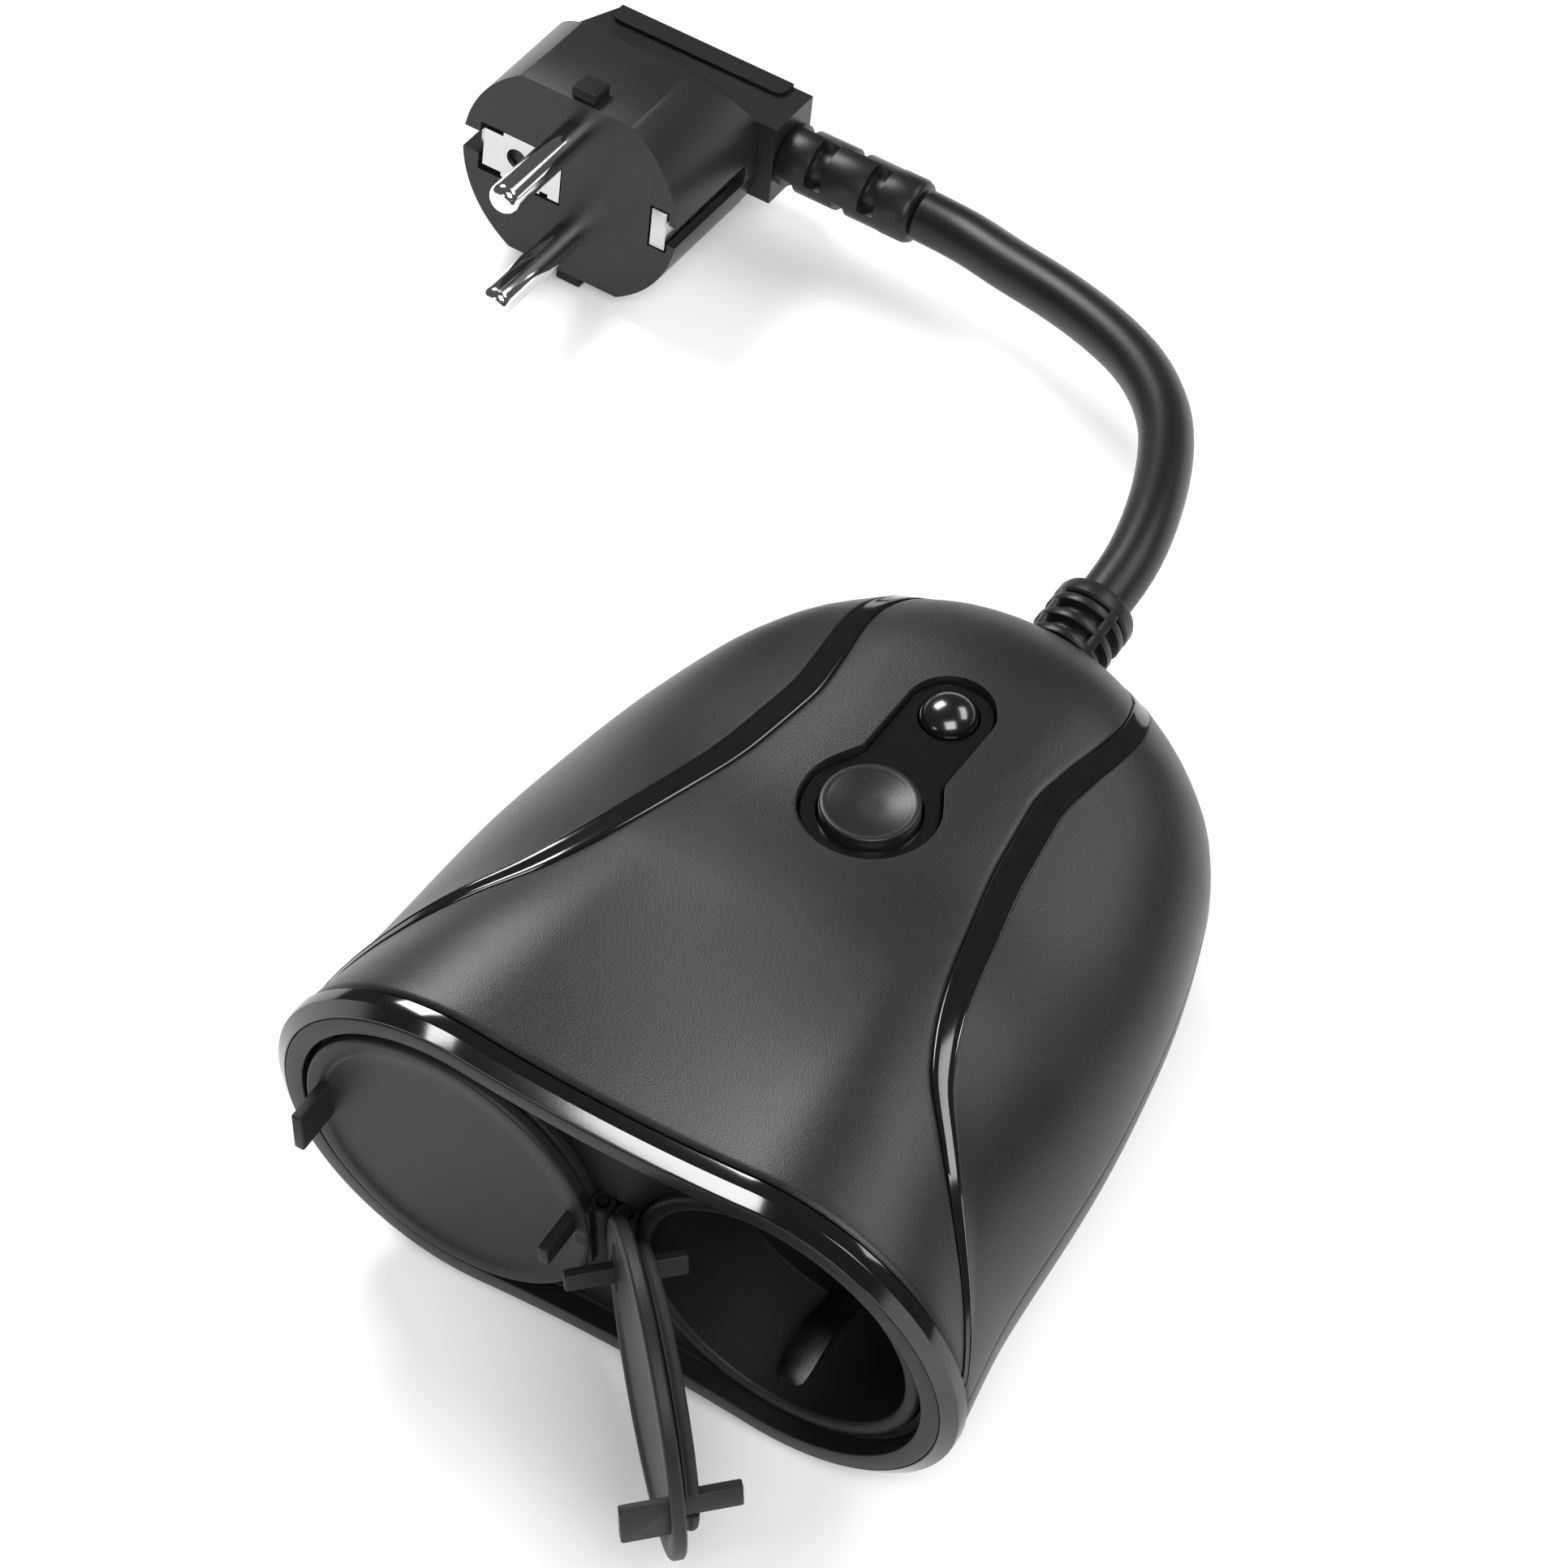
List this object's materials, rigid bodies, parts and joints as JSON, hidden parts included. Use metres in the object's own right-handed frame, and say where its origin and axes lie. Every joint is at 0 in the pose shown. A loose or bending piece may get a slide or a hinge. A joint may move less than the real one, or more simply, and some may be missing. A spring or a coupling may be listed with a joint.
{
  "type": "smart plug",
  "caption": "Outdoor smart plug: bell-shaped housing with capped earthed sockets, push button and lamp on top, and a short cord to an angled earthed plug.",
  "frame": {"origin": "centre of the flat back plate, on the surface the set lies on", "axes": "+X across the socket face, +Y from the sockets towards the cord, +Z towards the button"},
  "size_m": [0.1775, 0.2206, 0.0563],
  "materials": {
    "shell_black": "fine spark texture",
    "panel_black": "fine spark texture",
    "trim_gloss": "polished",
    "frame_grey": "satin",
    "cap_grey": "satin",
    "seal_rubber": "matte",
    "brass": "bright",
    "nickel": "bright",
    "steel": "bright",
    "chrome": "polished",
    "button_black": "satin",
    "lens_black": "polished",
    "board_green": "satin",
    "relay_blue": "satin",
    "module_grey": "satin",
    "terminal_grey": "satin",
    "lamp_white": "diffuse",
    "cord_black": "satin",
    "plug_black": "satin"
  },
  "bodies": {
    "body": {"lower_shell": "shell_black", "saddle_panel": "shell_black", "back_plate": "shell_black", "cord_gland": "shell_black", "cord_clamp": "shell_black", "side_panel_left": "panel_black", "side_panel_right": "panel_black", "front_trim_ring": "trim_gloss", "trim_strip_left": "trim_gloss", "trim_strip_right": "trim_gloss", "control_inlay": "trim_gloss", "plug_grip_inlay": "trim_gloss", "front_frame": "frame_grey", "socket_well_left": "frame_grey", "socket_well_right": "frame_grey", "contact_left_a": "brass", "contact_left_b": "brass", "contact_right_a": "brass", "contact_right_b": "brass", "earth_contact_left": "nickel", "earth_contact_right": "nickel", "plug_earth_strip": "nickel", "plug_earth_strip_far": "nickel", "plug_earth_plate": "nickel", "hinge_pin_left": "steel", "hinge_pin_right": "steel", "screw_1": "steel", "screw_2": "steel", "screw_3": "steel", "screw_4": "steel", "plug_pin_a": "chrome", "plug_pin_b": "chrome", "lamp_lens": "lens_black", "main_board": "board_green", "switch_riser": "board_green", "radio_module": "board_green", "relay_left": "relay_blue", "relay_right": "relay_blue", "supply_module": "module_grey", "tact_switch": "module_grey", "terminal_block": "terminal_grey", "lamp_emitter": "lamp_white", "mains_cord": "cord_black", "plug_body": "plug_black", "plug_guide_top": "plug_black", "plug_guide_bottom": "plug_black", "plug_strain_relief": "plug_black"},
    "cap_left_body": {"cap_left": "cap_grey", "cap_seal_left": "seal_rubber"},
    "cap_right_body": {"cap_right": "cap_grey", "cap_seal_right": "seal_rubber"},
    "button_body": {"button": "button_black"}
  },
  "joints": [
    {"name": "left_cap_hinge", "type": "hinge", "parent": "body", "child": "cap_left_body", "pos_m": [-0.0018, -0.0476, 0.02837], "axis": [0, 0, 1], "range_deg": [0, 46]},
    {"name": "right_cap_hinge", "type": "hinge", "parent": "body", "child": "cap_right_body", "pos_m": [0.0018, -0.0476, 0.02837], "axis": [0, 0, 1], "range_deg": [-6, 46]},
    {"name": "button_press", "type": "slide", "parent": "body", "child": "button_body", "axis": [0, -0.0958, -0.9954], "range_m": [0, 0.0006], "stiffness_N_per_m": 800}
  ]
}
